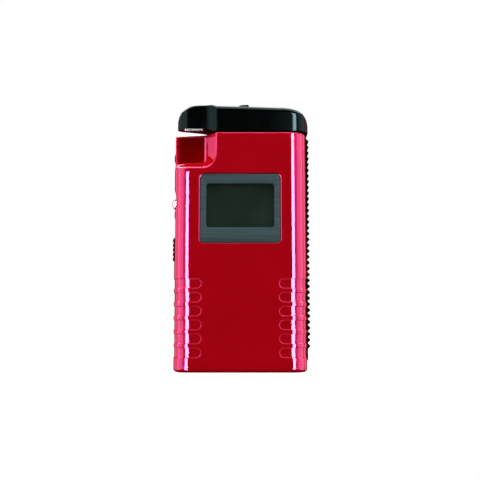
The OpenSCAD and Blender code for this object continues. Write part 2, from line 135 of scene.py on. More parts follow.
def tidy(mesh, sharp):
    """Joins points that meet, turns faces outwards and sets the shading."""
    import bmesh
    work = bmesh.new()
    work.from_mesh(mesh)
    bmesh.ops.remove_doubles(work, verts=work.verts, dist=1e-7)
    bmesh.ops.dissolve_degenerate(work, edges=work.edges, dist=1e-7)
    bmesh.ops.recalc_face_normals(work, faces=work.faces)
    work.to_mesh(mesh)
    work.free()
    mesh.polygons.foreach_set("use_smooth", [True] * len(mesh.polygons))
    mesh.set_sharp_from_angle(angle=math.radians(sharp))


def carve(piece, cutters, sharp=40, operation="DIFFERENCE"):
    """Cuts closed meshes out of a piece, or adds them to it, and removes them."""
    for cutter in cutters:
        cut = piece.modifiers.new("cut", "BOOLEAN")
        cut.operation = operation
        cut.solver = "MANIFOLD"
        cut.object = cutter
        bpy.context.view_layer.update()
        solid = bpy.data.meshes.new_from_object(piece.evaluated_get(bpy.context.evaluated_depsgraph_get()))
        piece.modifiers.clear()
        while len(solid.materials) > len(piece.data.materials):
            solid.materials.pop()
        piece.data = solid
        bpy.data.objects.remove(cutter)
    tidy(piece.data, sharp)
    return piece


def loft(name, loops, material, closed=False, caps=True, sharp=40):
    """Skin over loops that have the same number of points. Closed joins the last loop to the first."""
    count = len(loops[0])
    verts = [p for loop in loops for p in loop]
    faces = []
    for row in range(len(loops) if closed else len(loops) - 1):
        here, there = row * count, (row + 1) % len(loops) * count
        for i in range(count):
            j = (i + 1) % count
            faces.append((here + i, here + j, there + j, there + i))
    if caps and not closed:
        faces.append(tuple(range(count)))
        faces.append(tuple(range((len(loops) - 1) * count, len(loops) * count)))
    return new_piece(name, verts, faces, material, sharp)


def rounded_loop(w, h, r, place, segments=10):
    """Points of a rounded rectangle, placed by place(u, v)."""
    points = []
    for k, (sx, sy) in enumerate([(1, 1), (-1, 1), (-1, -1), (1, -1)]):
        for i in range(segments + 1):
            angle = math.radians(90) * (k + i / segments)
            u = sx * (w / 2 - r) + r * math.cos(angle)
            v = sy * (h / 2 - r) + r * math.sin(angle)
            points.append(place(u, v))
    return points


def lathe(name, profile, centre, axis, material, segments=48, sharp=40):
    """Solid of revolution. Profile holds (distance along the axis, radius)."""
    turn = Vector((0, 0, 1)).rotation_difference(Vector(axis))
    loops = []
    for along, radius in profile:
        loop = []
        for i in range(segments):
            angle = math.tau * i / segments
            point = turn @ Vector((radius * math.cos(angle), radius * math.sin(angle), along))
            loop.append(np.array(point) + np.array(centre))
        loops.append(loop)
    return loft(name, loops, material, sharp=sharp)


def block(low, high, r=0.05):
    """Plain cutter between two corners."""
    low, high = np.array(low, float), np.array(high, float)
    size, middle = high - low, (high + low) / 2
    loops = []
    for z in (low[2], high[2]):
        loops.append(rounded_loop(size[0], size[1], r, lambda u, v: (middle[0] + u, middle[1] + v, z), 1))
    return loft("cutter", loops, None)


def graded(start, end, spots, fine, coarse, growth=0.3):
    """Stations from start to end, close together near the spots."""
    spots = np.array(spots)
    stations = [start]
    while stations[-1] < end:
        gap = np.min(np.abs(spots - stations[-1]))
        stations.append(stations[-1] + min(coarse, max(fine, gap * growth)))
    stations = np.array(stations)
    return start + (stations - start) * (end - start) / (stations[-1] - start)


def smoothstep(t):
    """Eases from 0 to 1 as t goes from 0 to 1."""
    t = np.clip(t, 0, 1)
    return t * t * (3 - 2 * t)


def soften(path, width, step=0.02):
    """Rounds the corners of a path by averaging it over a width, at even steps along it."""
    gaps = np.hypot(*np.diff(path, axis=0).T)
    along = np.concatenate([[0], np.cumsum(gaps)])
    even = np.arange(0, along[-1], step)
    points = np.stack([np.interp(even, along, path[:, k]) for k in (0, 1)], axis=1)
    reach = int(width / step / 2)
    kernel = np.ones(2 * reach + 1) / (2 * reach + 1)
    for _ in range(2):
        padded = np.concatenate([np.repeat(points[:1], reach, 0), points, np.repeat(points[-1:], reach, 0)])
        smooth = np.stack([np.convolve(padded[:, k], kernel, "valid") for k in (0, 1)], axis=1)
        keep = 3 * reach
        smooth[:keep], smooth[-keep:] = points[:keep], points[-keep:]
        points = smooth
    return points


def outward(points):
    """Unit normals on the left of a path in plan, which is outwards for the shells' outlines."""
    run = np.gradient(points, axis=0)
    run /= np.maximum(np.hypot(run[:, 0], run[:, 1]), 1e-9)[:, None]
    return np.stack([run[:, 1], -run[:, 0]], axis=1)


# ---------------------------------------------------------------- materials
def srgb(r, g, b):
    """Linear colour from screen values of 0 to 255."""
    def linear(c):
        c = c / 255
        return c / 12.92 if c <= 0.04045 else ((c + 0.055) / 1.055) ** 2.4
    return (linear(r), linear(g), linear(b), 1)


def material(name, low, high, rough=(0.3, 0.4), grain=900, bump=0.02, bump_size=2500, **sockets):
    """Principled surface with colour and roughness that vary a little over fine noise, and a fine bump."""
    made = bpy.data.materials.new(name)
    made.use_nodes = True
    nodes, links = made.node_tree.nodes, made.node_tree.links
    shader = nodes["Principled BSDF"]
    where = nodes.new("ShaderNodeTexCoord")
    cloud = nodes.new("ShaderNodeTexNoise")
    cloud.inputs["Scale"].default_value = grain
    cloud.inputs["Detail"].default_value = 4
    links.new(where.outputs["Object"], cloud.inputs["Vector"])
    colour = nodes.new("ShaderNodeValToRGB")
    colour.color_ramp.elements[0].position = 0.35
    colour.color_ramp.elements[0].color = low
    colour.color_ramp.elements[1].position = 0.65
    colour.color_ramp.elements[1].color = high
    links.new(cloud.outputs["Fac"], colour.inputs["Fac"])
    links.new(colour.outputs["Color"], shader.inputs["Base Color"])
    gloss = nodes.new("ShaderNodeMapRange")
    gloss.inputs["To Min"].default_value = rough[0]
    gloss.inputs["To Max"].default_value = rough[1]
    links.new(cloud.outputs["Fac"], gloss.inputs["Value"])
    links.new(gloss.outputs["Result"], shader.inputs["Roughness"])
    if bump:
        pits = nodes.new("ShaderNodeTexNoise")
        pits.inputs["Scale"].default_value = bump_size
        links.new(where.outputs["Object"], pits.inputs["Vector"])
        relief = nodes.new("ShaderNodeBump")
        relief.inputs["Strength"].default_value = bump
        relief.inputs["Distance"].default_value = 0.0001
        links.new(pits.outputs["Fac"], relief.inputs["Height"])
        links.new(relief.outputs["Normal"], shader.inputs["Normal"])
    for socket, value in sockets.items():
        shader.inputs[socket.replace("_", " ")].default_value = value
    return made


def brushed(name, low, high, axis, rough, metallic=1.0, level=0.5):
    """Metal or satin paint with fine lines along an axis."""
    made = material(name, low, high, rough=rough, grain=300, bump=0.0,
                    Metallic=metallic, Specular_IOR_Level=level)
    nodes, links = made.node_tree.nodes, made.node_tree.links
    where = next(n for n in nodes if n.type == "TEX_COORD")
    cloud = next(n for n in nodes if n.type == "TEX_NOISE")
    stretch = nodes.new("ShaderNodeMapping")
    scale = [6.0, 6.0, 6.0]
    scale["XYZ".index(axis)] = 0.15
    stretch.inputs["Scale"].default_value = scale
    links.new(where.outputs["Object"], stretch.inputs["Vector"])
    links.new(stretch.outputs["Vector"], cloud.inputs["Vector"])
    return made


RED_TINT = (1, 0.10, 0.43, 1)
RED = material("red_plastic", (0.56, 0.0012, 0.0065, 1), (0.60, 0.0016, 0.0080, 1),
               rough=(0.015, 0.03), grain=60, bump=0.005, bump_size=1500,
               Specular_IOR_Level=1.0, Specular_Tint=RED_TINT)
# Pocket wall: rough red whose base is far darker than the body's red, painted shade for the recess under the
# beak.
RED_POCKET_PAINTED_SHADE = material("red_plastic_pocket_painted_shade", (0.18, 0.0004, 0.0004, 1), (0.20, 0.0005, 0.0006, 1),
                     rough=(0.6, 0.7), grain=60, bump=0.05, bump_size=5000, Specular_IOR_Level=0.0)
RED_EDGE = material("red_plastic_edge", (0.60, 0.012, 0.014, 1), (0.64, 0.014, 0.018, 1),
                    rough=(0.2, 0.3), grain=60, bump=0.005, bump_size=1500,
                    Specular_IOR_Level=0.05, Specular_Tint=RED_TINT)
BLACK_CAP = material("black_gloss", (0.0008, 0.0014, 0.0012, 1), (0.0012, 0.0020, 0.0018, 1),
                     rough=(0.07, 0.09), grain=200, bump=0.02, bump_size=3000,
                     Specular_IOR_Level=0.052, Specular_Tint=(0.55, 0.93, 1, 1))
BLACK_BASE = material("black_satin", (0.0008, 0.0012, 0.0012, 1), (0.0014, 0.002, 0.002, 1), rough=(0.4, 0.5),
                      grain=400, bump=0.05, bump_size=3000, Specular_IOR_Level=0.02)
BLACK_RAIL = material("black_rail", (0.004, 0.0006, 0.001, 1), (0.009, 0.0012, 0.002, 1), rough=(0.4, 0.5),
                      grain=500, bump=0.1, bump_size=3500, Specular_IOR_Level=0.0)
BLACK_KNOB = material("black_knob", (0.006, 0.002, 0.003, 1), (0.012, 0.004, 0.006, 1), rough=(0.4, 0.55),
                      grain=500, bump=0.2, bump_size=4000, Specular_IOR_Level=0.01)
GREY_PLATE = brushed("grey_plate", srgb(60, 82, 87), srgb(72, 95, 100), "X", (0.3, 0.42),
                     metallic=0.0, level=0.008)
LCD = material("lcd_glass", srgb(24, 42, 34), srgb(32, 54, 42), rough=(0.12, 0.2), grain=90, bump=0.01,
               Specular_IOR_Level=0.02)
CLEAR = material("clear_window", srgb(40, 60, 50), srgb(46, 66, 56),
                 rough=(0.03, 0.06), grain=120, bump=0.005,
                 Alpha=0.12, Specular_IOR_Level=0.05)
WHITE_PLASTIC = material("white_plastic", srgb(208, 206, 196), srgb(222, 220, 212),
                         rough=(0.4, 0.55), bump=0.1)
RUBBER = material("connector_rubber", srgb(52, 52, 56), srgb(66, 66, 70),
                  rough=(0.7, 0.85), grain=1500, bump=0.2)
BOARD = material("board_green", srgb(16, 74, 36), srgb(24, 92, 44), rough=(0.3, 0.5), grain=400, bump=0.1)
EPOXY = material("chip_epoxy", srgb(10, 10, 11), srgb(20, 20, 21), rough=(0.2, 0.35), grain=300, bump=0.1)
FERRITE = material("coil_ferrite", srgb(34, 34, 36), srgb(52, 50, 50), rough=(0.5, 0.7), grain=900, bump=0.3)
CAN = material("capacitor_can", srgb(22, 26, 60), srgb(30, 34, 74), rough=(0.25, 0.4), grain=250, bump=0.05)
RESISTOR = material("resistor_body", srgb(188, 164, 120), srgb(206, 184, 142),
                    rough=(0.35, 0.5), grain=500, bump=0.1)
STEEL = brushed("steel", (0.46, 0.47, 0.5, 1), (0.62, 0.63, 0.66, 1), "Z", (0.22, 0.36))
NICKEL = brushed("nickel", (0.6, 0.6, 0.62, 1), (0.74, 0.74, 0.76, 1), "Y", (0.12, 0.24))
# Nickel made nearly black for the strip under the beak: painted shade.
NICKEL_PAINTED_SHADE = brushed("nickel_painted_shade", (0.07, 0.075, 0.08, 1), (0.10, 0.105, 0.11, 1), "X", (0.3, 0.4))
BRASS = brushed("brass", (0.6, 0.42, 0.14, 1), (0.72, 0.52, 0.2, 1), "Z", (0.22, 0.34))


# ---------------------------------------------------------------- shells
def front_plane(inset):
    """Depth of the front face, or of the skin behind it."""
    return inset - HALF_D


def full_outline(inset, stations):
    """Front half of the outline in plan. Stations run from the left seam round the front to the right one."""
    side = HALF_D - CORNER
    arc = CORNER * math.pi / 2
    flat = 2 * (HALF_W - CORNER)
    r = CORNER - inset
    points = []
    for s in stations:
        if s <= side:
            points.append((inset - HALF_W, -s))
        elif s <= side + arc:
            a = (s - side) / CORNER
            points.append((CORNER - HALF_W - r * math.cos(a), CORNER - HALF_D - r * math.sin(a)))
        elif s <= side + arc + flat:
            points.append((CORNER - HALF_W + s - side - arc, front_plane(inset)))
        elif s <= side + 2 * arc + flat:
            a = (s - side - arc - flat) / CORNER
            points.append((HALF_W - CORNER + r * math.sin(a), CORNER - HALF_D - r * math.cos(a)))
        else:
            points.append((HALF_W - inset, s - (2 * side + 2 * arc + flat)))
    return np.array(points)


SIDE = HALF_D - CORNER
ARC = CORNER * math.pi / 2
TOTAL = 2 * SIDE + 2 * ARC + 2 * (HALF_W - CORNER)


def station_at(x):
    """Station of a point of the front face."""
    return SIDE + ARC + x + HALF_W - CORNER


def pocket_edge(x, inset):
    """Front limit of the material behind the cell pocket, seen from above."""
    trough = TROUGH_Y + np.sqrt(np.maximum((TROUGH_R + inset) ** 2 - (x - TROUGH_X) ** 2, 0))
    slope = FLARE_DEPTH / (FLARE_RIGHT - FLARE_LEFT)
    flare = -HALF_D + (FLARE_RIGHT - x) * slope + inset * math.hypot(1, slope)
    return np.maximum(np.minimum(trough, flare), front_plane(inset))


def pocket_outline(inset, stations):
    """The outline above the pocket floor, point by point with full_outline."""
    points = full_outline(inset, stations)
    left = inset - HALF_W
    back_y, end_x = -1.4, -6.0
    x = np.linspace(left, end_x, 1200)
    front = np.stack([x, pocket_edge(x, inset)], axis=1)
    side_y = np.linspace(back_y, front[0, 1], 200)[:-1]
    path = soften(np.concatenate([np.stack([np.full_like(side_y, left), side_y], axis=1), front]), 1.0)
    along = np.concatenate([[0], np.cumsum(np.hypot(*np.diff(path, axis=0).T))])
    kink = along[np.argmin(np.abs(path[:, 0] - FLARE_LEFT - inset * 0.8) + 9 * (path[:, 1] > -5))]
    edge = along[np.argmin(np.abs(path[:, 0] - FLARE_RIGHT - inset * 0.4))]
    from_s = [-back_y, station_at(FLARE_LEFT), station_at(FLARE_RIGHT), station_at(end_x)]
    to = np.interp(stations, from_s, [0, kink, edge, along[-1]])
    inside = (stations > from_s[0]) & (stations < from_s[-1])
    for k in (0, 1):
        points[inside, k] = np.interp(to, along, path[:, k])[inside]
    return points


def floor_height(x):
    """Height of the pocket's rim along the front face, with a round lower right-hand corner."""
    t = np.clip(x - FLARE_RIGHT + OUTLINE_ROUND, 0, OUTLINE_ROUND * 0.98)
    lift = OUTLINE_ROUND - np.sqrt(OUTLINE_ROUND ** 2 - t ** 2)
    return FLOOR_Z + lift * (1 - smoothstep((x - FLARE_RIGHT) / 8))


def shell_columns():
    """Stations round the outline, closer together at the pocket's edges and the grooves' ends."""
    spots = [0, 4.9, station_at(FLARE_LEFT), station_at(FLARE_RIGHT), TOTAL]
    ends = [station_at(side * (GROOVE_END + x)) for side in (-1, 1) for x in (0, 0.6, 1.4)]
    columns = graded(0, TOTAL, spots + ends, 0.14, 0.55, 0.25)
    seam = 0.18
    return np.concatenate([[0, seam], columns[(columns > seam + 0.1) & (columns < TOTAL - seam - 0.1)],
                           [TOTAL - seam, TOTAL]])


def groove_depth(stations, z):
    """Depth of the grip grooves: shallow with round ends on the front face, and deeper on the sides."""
    reach = GROOVE_END + GROOVE_H / 2
    from_middle = np.abs(stations - TOTAL / 2)
    inner = np.minimum(from_middle - reach, 0)
    nearest = GROOVE_LOW + GROOVE_PITCH * np.clip(np.round((z - GROOVE_LOW) / GROOVE_PITCH), 0, GROOVES - 1)
    distance = np.hypot(inner, z - nearest) - GROOVE_H / 2
    depth = GROOVE_FRONT + (GROOVE_DEPTH - GROOVE_FRONT) * smoothstep((from_middle - 19) / 10)
    return depth * smoothstep(0.5 - distance / GROOVE_EDGE)


def on_groove_edge(centre):
    """Whether a face lies on the round end of a grip groove."""
    x, y, z = np.array(centre) / MM
    nearest = GROOVE_LOW + GROOVE_PITCH * min(max(round((z - GROOVE_LOW) / GROOVE_PITCH), 0), GROOVES - 1)
    inner = min(abs(x) - GROOVE_END - GROOVE_H / 2, 0)
    on_front = abs(x) < HALF_W - CORNER - 0.6 and abs(y) > HALF_D - 0.4
    return on_front and abs(math.hypot(inner, z - nearest) - GROOVE_H / 2) < GROOVE_EDGE * 1.5


def side_limit(z):
    """How far the left-hand side is hollowed at each height."""
    edge = 0.35
    recess = RECESS_DEPTH * smoothstep((z - RECESS_LOW) / edge) * smoothstep((RECESS_HIGH - z) / edge)
    across = np.clip(np.abs(z - DOME_Z) / SCOOP_HALF, 0, 1)
    scoop = SCOOP_DEPTH * (1 - across ** 2) * smoothstep((1 - across) * 8)
    return np.maximum(recess, scoop)


def shell_grid(inset, pocket):
    """Rows of points from the middle of the foot up to the middle of the top."""
    outer = inset == 0
    columns = shell_columns()
    full = full_outline(inset, columns)
    upper = pocket_outline(inset, columns) if pocket else full
    full_out, upper_out = outward(full), outward(upper)
    low, high = inset, BODY_H - inset
    foot, lip = max(FOOT - inset, 0.3), max(TOP_ROUND - inset, 0.3)
    spine = np.interp(columns, [0, TOTAL], [foot - HALF_W + inset, HALF_W - inset - foot])
    rim = floor_height(full[:, 0]) - inset if pocket else np.full(len(columns), FLOOR_Z - inset)
    rows = []

    def row(plan, z):
        z = np.broadcast_to(z, len(columns))
        rows.append(np.column_stack([plan, z]))

    for t in (1, 0.6, 0.25):
        inner = full - full_out * foot
        row(np.stack([inner[:, 0] * (1 - t) + spine * t, inner[:, 1] * (1 - t)], axis=1), low)
    for i in range(8):
        a = math.pi / 2 * i / 7
        row(full - full_out * foot * (1 - math.sin(a)), low + foot * (1 - math.cos(a)))
    edges = []
    for i in range(GROOVES):
        middle = GROOVE_LOW + i * GROOVE_PITCH
        edges += [middle - GROOVE_H / 2, middle, middle + GROOVE_H / 2, middle - 1, middle + 1]
    edges += [RECESS_LOW, RECESS_HIGH, DOME_Z - SCOOP_HALF, DOME_Z + SCOOP_HALF]
    belt = 74.0
    heights = graded(FOOT, belt, edges, 0.09, 1.2, 0.22)[1:]
    for z in belt - (belt - heights) * (belt - low - foot) / (belt - FOOT):
        plan = full
        if outer:
            plan = full - full_out * groove_depth(columns, z)[:, None]
            plan = plan.copy()
            limit = side_limit(z) - HALF_W
            plan[:, 0] = np.where(plan[:, 0] < 0, np.maximum(plan[:, 0], limit), plan[:, 0])
        row(plan, z)
    for t in np.linspace(0, 1, 8)[1:]:
        row(full, belt + (rim - RIM_ROUND - belt) * t)
    inward = upper - full
    width = np.hypot(inward[:, 0], inward[:, 1])
    step = inward / np.maximum(width, 1e-6)[:, None]
    lip_w = np.minimum(RIM_ROUND, width * 0.2)
    bowl_w = np.minimum(FLOOR_ROUND, width - lip_w)
    for i in range(1, 8):
        a = math.pi / 2 * i / 7
        row(full + step * (lip_w * (1 - math.cos(a)))[:, None], rim - RIM_ROUND * (1 - math.sin(a)))
    rise = 0.3
    for i in range(1, 6):
        t = i / 5
        row(full + step * (lip_w + (width - lip_w - bowl_w) * t)[:, None], rim + rise * t)
    for i in range(1, 15):
        a = math.pi / 2 * i / 14
        row(full + step * (width - bowl_w * (1 - math.sin(a)))[:, None],
            rim + rise + FLOOR_ROUND * (1 - math.cos(a)))
    shelf = rim + rise + FLOOR_ROUND
    for t in np.linspace(0, 1, 9)[1:]:
        row(upper, shelf + (high - lip - shelf) * t)
    for i in range(1, 7):
        a = math.pi / 2 * i / 6
        row(upper - upper_out * lip * (1 - math.cos(a)), high - lip * (1 - math.sin(a)))
    inner = upper - upper_out * lip
    for t in (0.25, 0.6, 1):
        row(np.stack([inner[:, 0] * (1 - t) + spine * t, inner[:, 1] * (1 - t)], axis=1), high)
    grid = np.array(rows)
    if outer:
        for end in (0, -1):
            grid[:, end, 0] *= 1 - 0.12 / HALF_W
    grid[:, [0, -1], 1] = 0
    return grid


def on_trough(centre):
    """Whether a face lies on the wall of the cell pocket, which gets the rough red darkened with painted
    shade.
    """
    x, y, z = np.array(centre) / MM
    radius = math.hypot(x - TROUGH_X, y - TROUGH_Y)
    across = 1.4 - HALF_W < x < FLARE_LEFT - 0.5
    return abs(radius - TROUGH_R) < 0.8 and across and FLOOR_Z + 0.8 < z < BODY_H - TOP_ROUND


def shell(name, pocket, back):
    """Closed half shell: an outer and an inner skin that meet on the seam."""
    outer, inner = shell_grid(0, pocket), shell_grid(WALL, pocket)
    high, wide = outer.shape[:2]
    points = np.concatenate([outer.reshape(-1, 3), inner.reshape(-1, 3)])
    if back:
        points[:, 1] *= -1
    shift = high * wide
    index = np.arange(shift).reshape(high, wide)
    quads = np.stack([index[:-1, :-1], index[:-1, 1:], index[1:, 1:], index[1:, :-1]], axis=-1).reshape(-1, 4)
    faces = np.concatenate([quads, quads[:, ::-1] + shift]).tolist()
    ring = list(index[0, :]) + list(index[1:, -1]) + list(index[-1, :-1][::-1]) + list(index[1:-1, 0][::-1])
    for a, b in zip(ring, ring[1:] + ring[:1]):
        faces.append((int(b), int(a), int(a) + shift, int(b) + shift))
    piece = new_piece(name, points, faces, RED, 42)
    piece.data.materials.append(RED_EDGE)
    # Third slot: the pocket wall's darker red, painted shade.
    piece.data.materials.append(RED_POCKET_PAINTED_SHADE)
    marks = [int(on_groove_edge(face.center)) for face in piece.data.polygons]
    if pocket:
        marks = [2 if on_trough(face.center) else mark for face, mark in zip(piece.data.polygons, marks)]
    piece.data.polygons.foreach_set("material_index", marks)
    return piece


def rod(name, low, high, r, axis, mat=None, chamfer=0.0):
    """Round rod between two points on an axis, for cutters and pins."""
    length = float(np.linalg.norm(np.array(high) - np.array(low)))
    profile = [(0, r - chamfer), (chamfer, r), (length - chamfer, r), (length, r - chamfer)]
    if not chamfer:
        profile = [(0, r), (length, r)]
    return lathe(name, profile, low, axis, mat)


def rail_slot_cutters():
    """Open slot in the right-hand side for the rail, wider behind the housing's top edge."""
    return [block((22, -SLOT_HALF, SLOT_LOW), (HALF_W + 2, SLOT_HALF, BODY_H + 2)),
            block((20.7, -6.5, BODY_H - 3), (HALF_W + 2, 6.5, BODY_H + 2))]


def plate_cutter(w, h, z, r, front, back, chamfer):
    """Rounded plate that widens towards the front face, so the edge of the recess is bevelled."""
    loops = []
    for y, grow in ((front - 1, chamfer + 1), (front, chamfer), (front + chamfer, 0), (back, 0)):
        loops.append(rounded_loop(w + 2 * grow, h + 2 * grow, r + grow, lambda u, v: (u, y, z + v)))
    return loft("cutter", loops, None)


def make_front_shell():
    """Front half with the pocket, the recess for the plate and the holes for the side pieces."""
    piece = shell("front_shell_skin", True, False)
    w, h = BEZEL_HIGH[0] - BEZEL_LOW[0], BEZEL_HIGH[2] - BEZEL_LOW[2]
    z = (BEZEL_HIGH[2] + BEZEL_LOW[2]) / 2
    wz = (WINDOW_HIGH[2] + WINDOW_LOW[2]) / 2
    ww, wh = WINDOW_HIGH[0] - WINDOW_LOW[0], WINDOW_HIGH[2] - WINDOW_LOW[2]
    seat_x = (SEAT_LOW[0] + SEAT_HIGH[0]) / 2
    cutters = rail_slot_cutters()
    cutters.append(plate_cutter(w + 0.3, h + 0.3, z, PLATE_ROUND + 0.15, -HALF_D, BEZEL_HIGH[1], 0.22))
    cutters.append(plate_cutter(ww + 0.4, wh + 0.4, wz, 1.0, BEZEL_HIGH[1] - 1, 0, 0.01))
    seat_y = SEAT_LOW[1] + 1.1
    cutters.append(rod("cutter", (seat_x, seat_y, 70), (seat_x, seat_y, 90), 1.15, (0, 0, 1)))
    carve(piece, cutters + left_holes(), 42)
    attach(piece, "housing")
    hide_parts("front_shell")


def left_holes():
    """Holes in the left-hand wall for the stud, the domed contact and the thumb piece."""
    return [rod("cutter", (-HALF_W - 1, 0, STUD_Z), (-20, 0, STUD_Z), 1.3, (1, 0, 0)),
            rod("cutter", (-HALF_W - 1, 0, DOME_Z), (-20, 0, DOME_Z), 1.6, (1, 0, 0)),
            block((-HALF_W - 1, -1.2, KNOB_Z - 2), (-20, 1.2, KNOB_Z + 8))]


SCREWS = [(-20.5, 7.5), (9.5, 7.5), (11.5, 88)]


def make_rear_shell():
    """Back half with wells and holes for three screws."""
    piece = shell("rear_shell_skin", False, True)
    cutters = rail_slot_cutters() + left_holes()
    for x, z in SCREWS:
        profile = [(0, 2.3), (5.9, 2.3), (6.1, 2.5), (7.1, 3.5)]
        well = lathe("well", [(0, 3.2), (5.5, 3.2)], (x, 5.6, z), (0, 1, 0), None)
        carve(piece, [well], 42, "UNION")
        cutters.append(lathe("cutter", profile, (x, 6.4, z), (0, 1, 0), None))
    carve(piece, cutters, 42)
    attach(piece, "housing")
    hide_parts("rear_shell")


# ---------------------------------------------------------------- display
def make_bezel():
    """Grey plate with a softened edge round the outside and round its opening."""
    w, h = BEZEL_HIGH[0] - BEZEL_LOW[0], BEZEL_HIGH[2] - BEZEL_LOW[2]
    z = (BEZEL_HIGH[2] + BEZEL_LOW[2]) / 2
    hole_w, hole_h, hole_z, hole_r = 27.2, 17.7, 66.2, 1.2
    front, back = BEZEL_LOW[1], BEZEL_HIGH[1]
    soft = 0.22
    loops = []
    for y, grow in ((back, 0), (front + soft, 0), (front + soft * 0.3, -soft * 0.3), (front, -soft)):
        loops.append(rounded_loop(w + 2 * grow, h + 2 * grow, PLATE_ROUND + grow,
                                  lambda u, v: (u, y, z + v)))
    for y, grow in ((front, soft), (front + soft * 0.3, soft * 0.3), (front + soft, 0), (back, 0)):
        loops.append(rounded_loop(hole_w + 2 * grow, hole_h + 2 * grow, hole_r + grow,
                                  lambda u, v: (u, y, hole_z + v)))
    piece = loft("bezel_frame", loops, GREY_PLATE, closed=True, sharp=50)
    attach(piece, "housing")
    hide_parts("bezel_plate")


# ---------------------------------------------------------------- arm
BEAK_LOW = CAP_LOW[2] + 1.5
BEAK_FRONT = 2.3 - HALF_D
CAP_TOP = CAP_HIGH[2] - 0.3
PIN_Z = CAP_LOW[2] + 3.6
CAP_RIGHT = CAP_HIGH[0]
BEAK_BEND = -15.4  # where the beak's top starts to bend down
BEAK_DROP = 6.9
CAP_BEND = 11.4  # length of the bend at the right-hand end
CAP_DROP = 5.4
CAP_WALL = 1.5


def cap_top(x):
    """Height of the cap's top along its length: a full round at the beak, a low crown and a long round."""
    t = np.clip((BEAK_BEND - x) / 10.4, 0, 1)
    left = CAP_HIGH[2] - BEAK_DROP + BEAK_DROP * (1 - t ** 2.5) ** 0.4
    a = np.clip((x - CAP_RIGHT + CAP_BEND) / CAP_BEND, 0, 1)
    right = CAP_DROP * (1 - np.sqrt(1 - a ** 2))
    crown = CAP_TOP + np.interp(x, [-8.6, 5, 16.3], [-0.15, -0.5, -0.9])
    step = smoothstep((x + 12) / 3.6)
    return np.where(x < BEAK_BEND, left, CAP_HIGH[2] * (1 - step) + crown * step - right)


def cap_foot(x):
    """Height of the cap's lower edge, which steps up under the beak."""
    return CAP_LOW[2] + (BEAK_LOW - CAP_LOW[2]) * smoothstep((-10.3 - x) / 3.4)


def arc_points(cx, cy, r, start, end, count):
    """Points of an arc between two angles in degrees."""
    angles = np.radians(np.linspace(start, end, count))
    return np.stack([cx + r * np.cos(angles), cy + r * np.sin(angles)], axis=1)


def beak_hollow():
    """Concave curve from the beak's front into the slanted edge beside it."""
    start, corner = np.array([-15.8, BEAK_FRONT]), np.array([-13.7, BEAK_FRONT])
    end = np.array([-12.2, 1.5 - HALF_D])
    t = np.linspace(0, 1, 30)[:, None]
    return start * (1 - t) ** 2 + corner * 2 * t * (1 - t) + end * t ** 2


def cap_outline(inset):
    """Closed outline of the cap in plan, from the flare round the right-hand end and back to the beak."""
    d = HALF_D
    corner_points = 40
    sharp = np.concatenate([
        [[FLARE_RIGHT + 0.3, -d], [0, -d]],
        arc_points(CAP_RIGHT - CORNER, CORNER - d, CORNER, -90, 0, corner_points),
        arc_points(CAP_RIGHT - CORNER, d - CORNER, CORNER, 0, 90, corner_points),
        arc_points(-3, d - CORNER, CORNER, 90, 160, 20),
        [[-10, 4.6], [-15.6, -0.4]],
        arc_points(-22.9, -6.4, 2.8, 120, 240, 40),
        [[-21.5, BEAK_FRONT]], beak_hollow(), [[FLARE_RIGHT + 0.3, -d]]])
    middle = corner_points + 1
    turned = np.concatenate([sharp[middle:-1], sharp[:middle + 1]])
    path = soften(turned, 1.1)
    along = np.concatenate([[0], np.cumsum(np.hypot(*np.diff(path, axis=0).T))])
    spots = along[[np.argmin(np.hypot(path[:, 0] - x, path[:, 1] - y)) for x, y in
                   ((FLARE_LEFT, BEAK_FRONT), (FLARE_RIGHT, -d), (-15.6, -0.4), (-22, -9.8))]]
    stations = graded(0, along[-1], spots, 0.16, 0.6, 0.25)[:-1]
    points = np.stack([np.interp(stations, along, path[:, k]) for k in (0, 1)], axis=1)
    ring = np.concatenate([points[-2:], points, points[:2]])
    return points - outward(ring)[2:-2] * inset


def cap_skin(inset, rim_round):
    """Rows of the cap from its lower edge over the rounded rim to the spine of its top."""
    plan = cap_outline(0)
    beak = smoothstep((FLARE_RIGHT - plan[:, 0]) / 3)
    tip = smoothstep((-18 - plan[:, 0]) / 6)
    edge = rim_round * (1 - 0.65 * beak + 0.55 * tip)
    ring = np.concatenate([plan[-2:], plan, plan[:2]])
    out = outward(ring)[2:-2]
    spine_x = np.clip(plan[:, 0], -19.5, CAP_RIGHT - 8)
    spine_y = np.interp(spine_x, [-19.5, -8, 2, CAP_RIGHT - 8], [-6.8, -3.5, 0, 0])
    rows = []

    def row(points, drop):
        rows.append(np.column_stack([points, cap_top(points[:, 0]) - inset - drop]))

    out_e = out * edge[:, None]
    wall = plan - out * inset
    foot = np.column_stack([wall, cap_foot(wall[:, 0])])
    top = np.column_stack([wall, cap_top(wall[:, 0]) - inset - edge])
    for t in np.linspace(0, 1, 10)[:-1]:
        rows.append(foot + (top - foot) * t)
    for i in range(0, 10):
        a = math.pi / 2 * i / 9
        row(wall - out_e * (1 - math.cos(a)), edge * (1 - math.sin(a)))
    rim = wall - out_e
    for t in (0.05, 0.12, 0.2, 0.3, 0.4, 0.5, 0.6, 0.7, 0.8, 0.9, 1):
        x = rim[:, 0] + (spine_x - rim[:, 0]) * t
        y = rim[:, 1] + (spine_y - rim[:, 1]) * t
        row(np.stack([x, y], axis=1), 0)
    return rows


